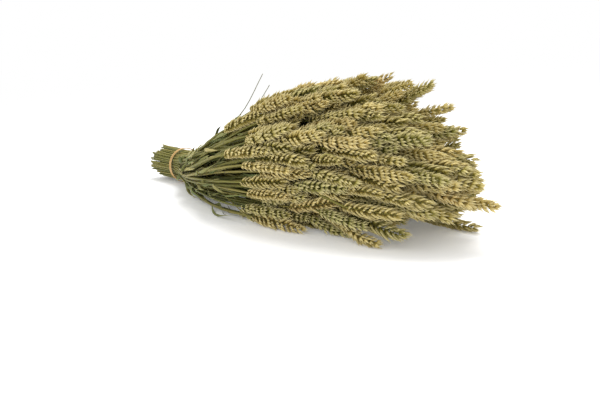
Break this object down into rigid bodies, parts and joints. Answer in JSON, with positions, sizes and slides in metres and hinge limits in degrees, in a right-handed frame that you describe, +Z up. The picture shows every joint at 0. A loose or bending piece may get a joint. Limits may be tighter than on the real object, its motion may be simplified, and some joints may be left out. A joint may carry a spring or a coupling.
{
  "type": "bundle of dried wheat",
  "caption": "Bundle of dried wheat lying on its side: straw stems tied at the neck fan out into plump, awnless ears.",
  "frame": {"origin": "centre of the bundle's box, on the surface that it lies on", "axes": "+X from the cut ends to the tips of the ears, +Y across the bundle, +Z up"},
  "size_m": [0.746, 0.228, 0.1808],
  "materials": {
    "dried_wheat": "dry and matt, from straw gold to grey green",
    "tie_band": "dull natural rubber"
  },
  "bodies": {
    "root": {"wheat_stalk_01": "dried_wheat", "wheat_stalk_02": "dried_wheat", "wheat_stalk_03": "dried_wheat", "wheat_stalk_04": "dried_wheat", "wheat_stalk_05": "dried_wheat", "wheat_stalk_06": "dried_wheat", "wheat_stalk_07": "dried_wheat", "wheat_stalk_08": "dried_wheat", "wheat_stalk_09": "dried_wheat", "wheat_stalk_10": "dried_wheat", "wheat_stalk_11": "dried_wheat", "wheat_stalk_12": "dried_wheat", "wheat_stalk_13": "dried_wheat", "wheat_stalk_14": "dried_wheat", "wheat_stalk_15": "dried_wheat", "wheat_stalk_16": "dried_wheat", "wheat_stalk_17": "dried_wheat", "wheat_stalk_18": "dried_wheat", "wheat_stalk_19": "dried_wheat", "wheat_stalk_20": "dried_wheat", "wheat_stalk_21": "dried_wheat", "wheat_stalk_22": "dried_wheat", "wheat_stalk_23": "dried_wheat", "wheat_stalk_24": "dried_wheat", "wheat_stalk_25": "dried_wheat", "wheat_stalk_26": "dried_wheat", "wheat_stalk_27": "dried_wheat", "wheat_stalk_28": "dried_wheat", "wheat_stalk_29": "dried_wheat", "wheat_stalk_30": "dried_wheat", "wheat_stalk_31": "dried_wheat", "wheat_stalk_32": "dried_wheat", "wheat_stalk_33": "dried_wheat", "wheat_stalk_34": "dried_wheat", "wheat_stalk_35": "dried_wheat", "wheat_stalk_36": "dried_wheat", "wheat_stalk_37": "dried_wheat", "wheat_stalk_38": "dried_wheat", "wheat_stalk_39": "dried_wheat", "wheat_stalk_40": "dried_wheat", "wheat_stalk_41": "dried_wheat", "wheat_stalk_42": "dried_wheat", "wheat_stalk_43": "dried_wheat", "wheat_stalk_44": "dried_wheat", "wheat_stalk_45": "dried_wheat", "wheat_stalk_46": "dried_wheat", "wheat_stalk_47": "dried_wheat", "wheat_stalk_48": "dried_wheat", "wheat_stalk_49": "dried_wheat", "wheat_stalk_50": "dried_wheat", "wheat_stalk_51": "dried_wheat", "wheat_stalk_52": "dried_wheat", "wheat_stalk_53": "dried_wheat", "wheat_stalk_54": "dried_wheat", "wheat_stalk_55": "dried_wheat", "wheat_stalk_56": "dried_wheat", "wheat_stalk_57": "dried_wheat", "wheat_stalk_58": "dried_wheat", "tie_band": "tie_band"}
  },
  "joints": []
}
